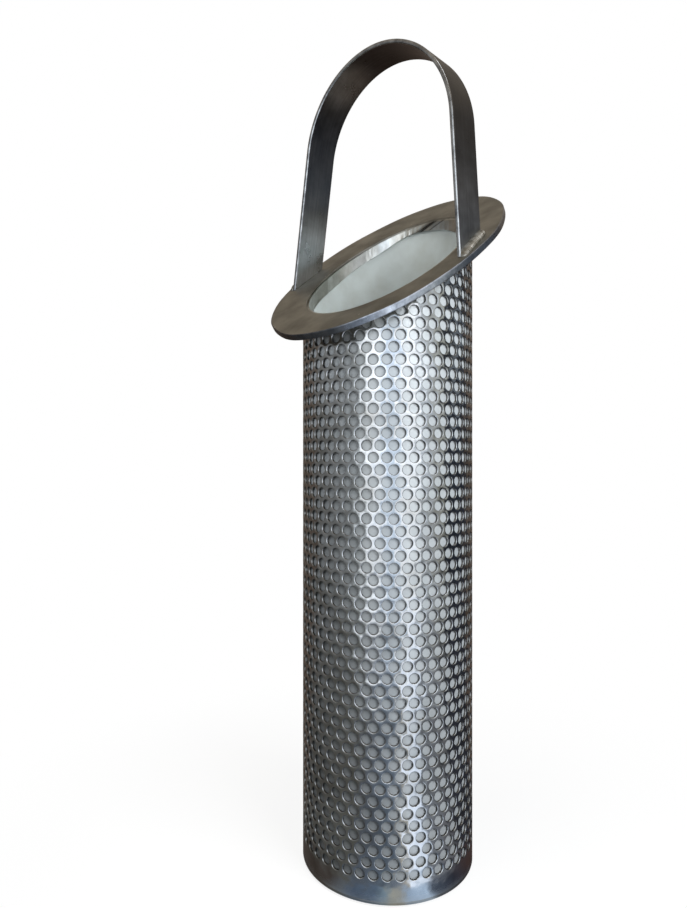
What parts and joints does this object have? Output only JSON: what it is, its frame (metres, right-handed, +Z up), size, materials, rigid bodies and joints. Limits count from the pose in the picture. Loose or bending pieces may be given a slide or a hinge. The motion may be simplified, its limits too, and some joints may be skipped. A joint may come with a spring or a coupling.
{
  "type": "bucket strainer",
  "caption": "Perforated sheet tube basket with a slanted flat ring at its mouth, a fine wire mesh lining, a plate at its foot and an arched strap handle.",
  "frame": {"origin": "centre of the foot plate's underside, on the tube's axis", "axes": "+Z up along the tube; the slanted mouth rises towards +Y; the strap handle stands over the X axis"},
  "size_m": [0.153, 0.1551, 0.5184],
  "materials": {
    "polished_sheet": "polished perforated stainless sheet",
    "satin_plate": "satin stainless plate, brownish from heat",
    "strap_steel": "dark mill finish strap",
    "wire_cloth": "fine woven wire cloth, pale matt grey",
    "brushed_strip": "brushed strip, hammered marks",
    "weld_metal": "rippled weld metal"
  },
  "bodies": {
    "root": {"perforated_shell": "polished_sheet", "shell_seam_weld": "weld_metal", "bottom_plate": "satin_plate", "mesh_liner": "wire_cloth", "retaining_band": "brushed_strip", "flange_ring": "satin_plate", "lifting_handle": "strap_steel", "handle_weld_left": "weld_metal", "handle_weld_right": "weld_metal"}
  },
  "joints": []
}
